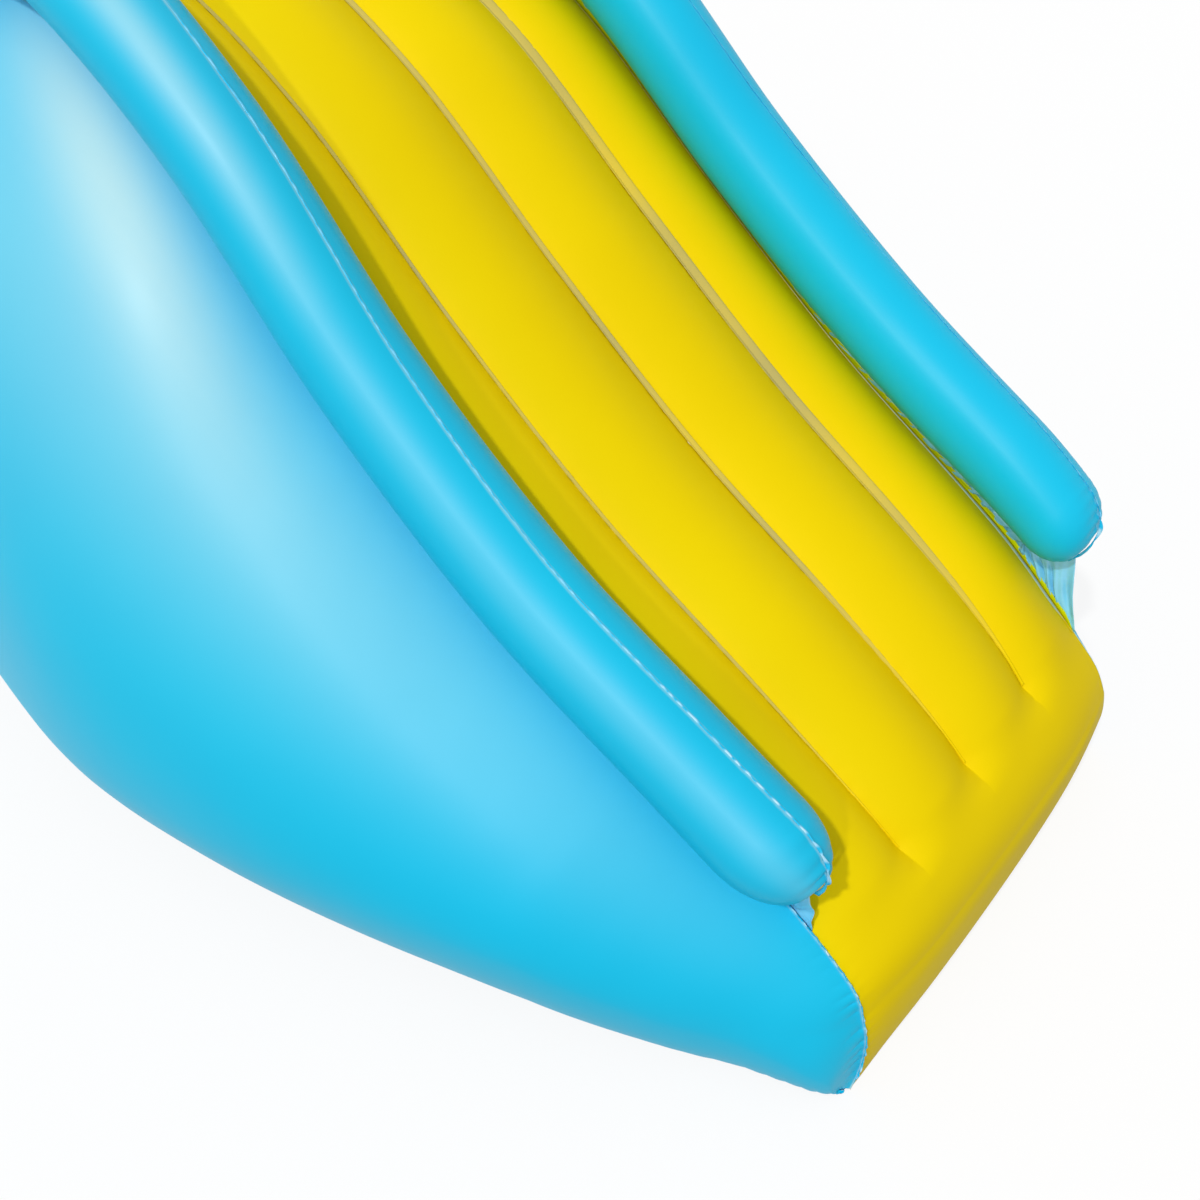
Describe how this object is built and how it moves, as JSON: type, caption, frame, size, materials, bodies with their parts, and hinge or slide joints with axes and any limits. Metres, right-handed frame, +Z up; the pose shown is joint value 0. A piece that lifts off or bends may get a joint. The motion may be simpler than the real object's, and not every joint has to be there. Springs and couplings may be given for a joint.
{
  "type": "inflatable water slide",
  "caption": "Inflatable pool slide: grooved welded bed between two round rails, bulging side panels, ladder side with soft steps, handles, valves and spray pipe.",
  "frame": {"origin": "on the ground under the middle of the slide", "axes": "+Z up, -Y towards the nose at the foot of the slide, +Y towards the ladder, +X to the left when going down"},
  "size_m": [1.6434, 3.3298, 1.2932],
  "materials": {
    "blue_film": "satin printed PVC film",
    "yellow_film": "satin PVC film",
    "pale_film": "thin translucent wrinkled PVC film",
    "base_film": "matte PVC film",
    "white_film": "matte PVC film",
    "white_plastic": "soft moulded PVC",
    "blue_plastic": "moulded plastic",
    "brass": "rolled brass"
  },
  "bodies": {
    "slide": {"base_sheet": "base_film", "bed_sheet": "yellow_film", "body_valve_base": "white_plastic", "centre_baffle": "white_film", "drain_base": "white_plastic", "front_left_eyelet": "brass", "front_left_tab": "blue_film", "front_right_eyelet": "brass", "front_right_tab": "blue_film", "hose_spigot": "white_plastic", "ladder_panel": "blue_film", "ladder_step_1": "yellow_film", "ladder_step_2": "yellow_film", "ladder_step_3": "yellow_film", "ladder_step_4": "yellow_film", "left_baffle": "white_film", "left_handle": "white_plastic", "left_handle_front_patch": "blue_film", "left_handle_rear_patch": "blue_film", "left_rail": "blue_film", "left_rail_valve_base": "white_plastic", "left_rail_web": "pale_film", "left_side_panel": "blue_film", "rear_left_eyelet": "brass", "rear_left_tab": "blue_film", "rear_right_eyelet": "brass", "rear_right_tab": "blue_film", "right_baffle": "white_film", "right_handle": "white_plastic", "right_handle_front_patch": "blue_film", "right_handle_rear_patch": "blue_film", "right_rail": "blue_film", "right_rail_valve_base": "white_plastic", "right_rail_web": "pale_film", "right_side_panel": "blue_film", "spray_pipe": "white_plastic"},
    "body_valve_cap": {"body_valve_cap": "white_plastic"},
    "left_rail_valve_cap": {"left_rail_valve_cap": "white_plastic"},
    "right_rail_valve_cap": {"right_rail_valve_cap": "white_plastic"},
    "drain_cap": {"drain_cap": "white_plastic"},
    "body_valve_flap": {"body_valve_flap": "white_plastic"},
    "left_rail_valve_flap": {"left_rail_valve_flap": "white_plastic"},
    "right_rail_valve_flap": {"right_rail_valve_flap": "white_plastic"},
    "hose_nut": {"hose_nut": "blue_plastic"}
  },
  "joints": [
    {"name": "body_valve_cap_hinge", "type": "hinge", "parent": "slide", "child": "body_valve_cap", "pos_m": [0.1554, 1.56614, 0.18335], "axis": [1, 0, 0], "range_deg": [0, 150]},
    {"name": "left_rail_valve_cap_hinge", "type": "hinge", "parent": "slide", "child": "left_rail_valve_cap", "pos_m": [0.42518, 1.00638, 0.78687], "axis": [0.2619, -0.6413, -0.7212], "range_deg": [0, 150]},
    {"name": "right_rail_valve_cap_hinge", "type": "hinge", "parent": "slide", "child": "right_rail_valve_cap", "pos_m": [-0.42518, 1.00638, 0.78687], "axis": [0.2619, 0.6413, 0.7212], "range_deg": [0, 150]},
    {"name": "drain_cap_hinge", "type": "hinge", "parent": "slide", "child": "drain_cap", "pos_m": [-0.1554, 1.56614, 0.18335], "axis": [1, 0, 0], "range_deg": [0, 150]},
    {"name": "body_valve_flap_hinge", "type": "hinge", "parent": "slide", "child": "body_valve_flap", "pos_m": [0.1554, 1.5558, 0.16412], "axis": [-1, 0, 0], "range_deg": [0, 60]},
    {"name": "left_rail_valve_flap_hinge", "type": "hinge", "parent": "slide", "child": "left_rail_valve_flap", "pos_m": [0.40449, 1.00573, 0.77994], "axis": [-0.2619, 0.6413, 0.7212], "range_deg": [0, 60]},
    {"name": "right_rail_valve_flap_hinge", "type": "hinge", "parent": "slide", "child": "right_rail_valve_flap", "pos_m": [-0.40449, 1.00573, 0.77994], "axis": [-0.2619, -0.6413, -0.7212], "range_deg": [0, 60]},
    {"name": "hose_nut_turn", "type": "hinge", "parent": "slide", "child": "hose_nut", "pos_m": [0.2, 0.51222, 1.07471], "axis": [0, 1, 0], "continuous": true}
  ]
}
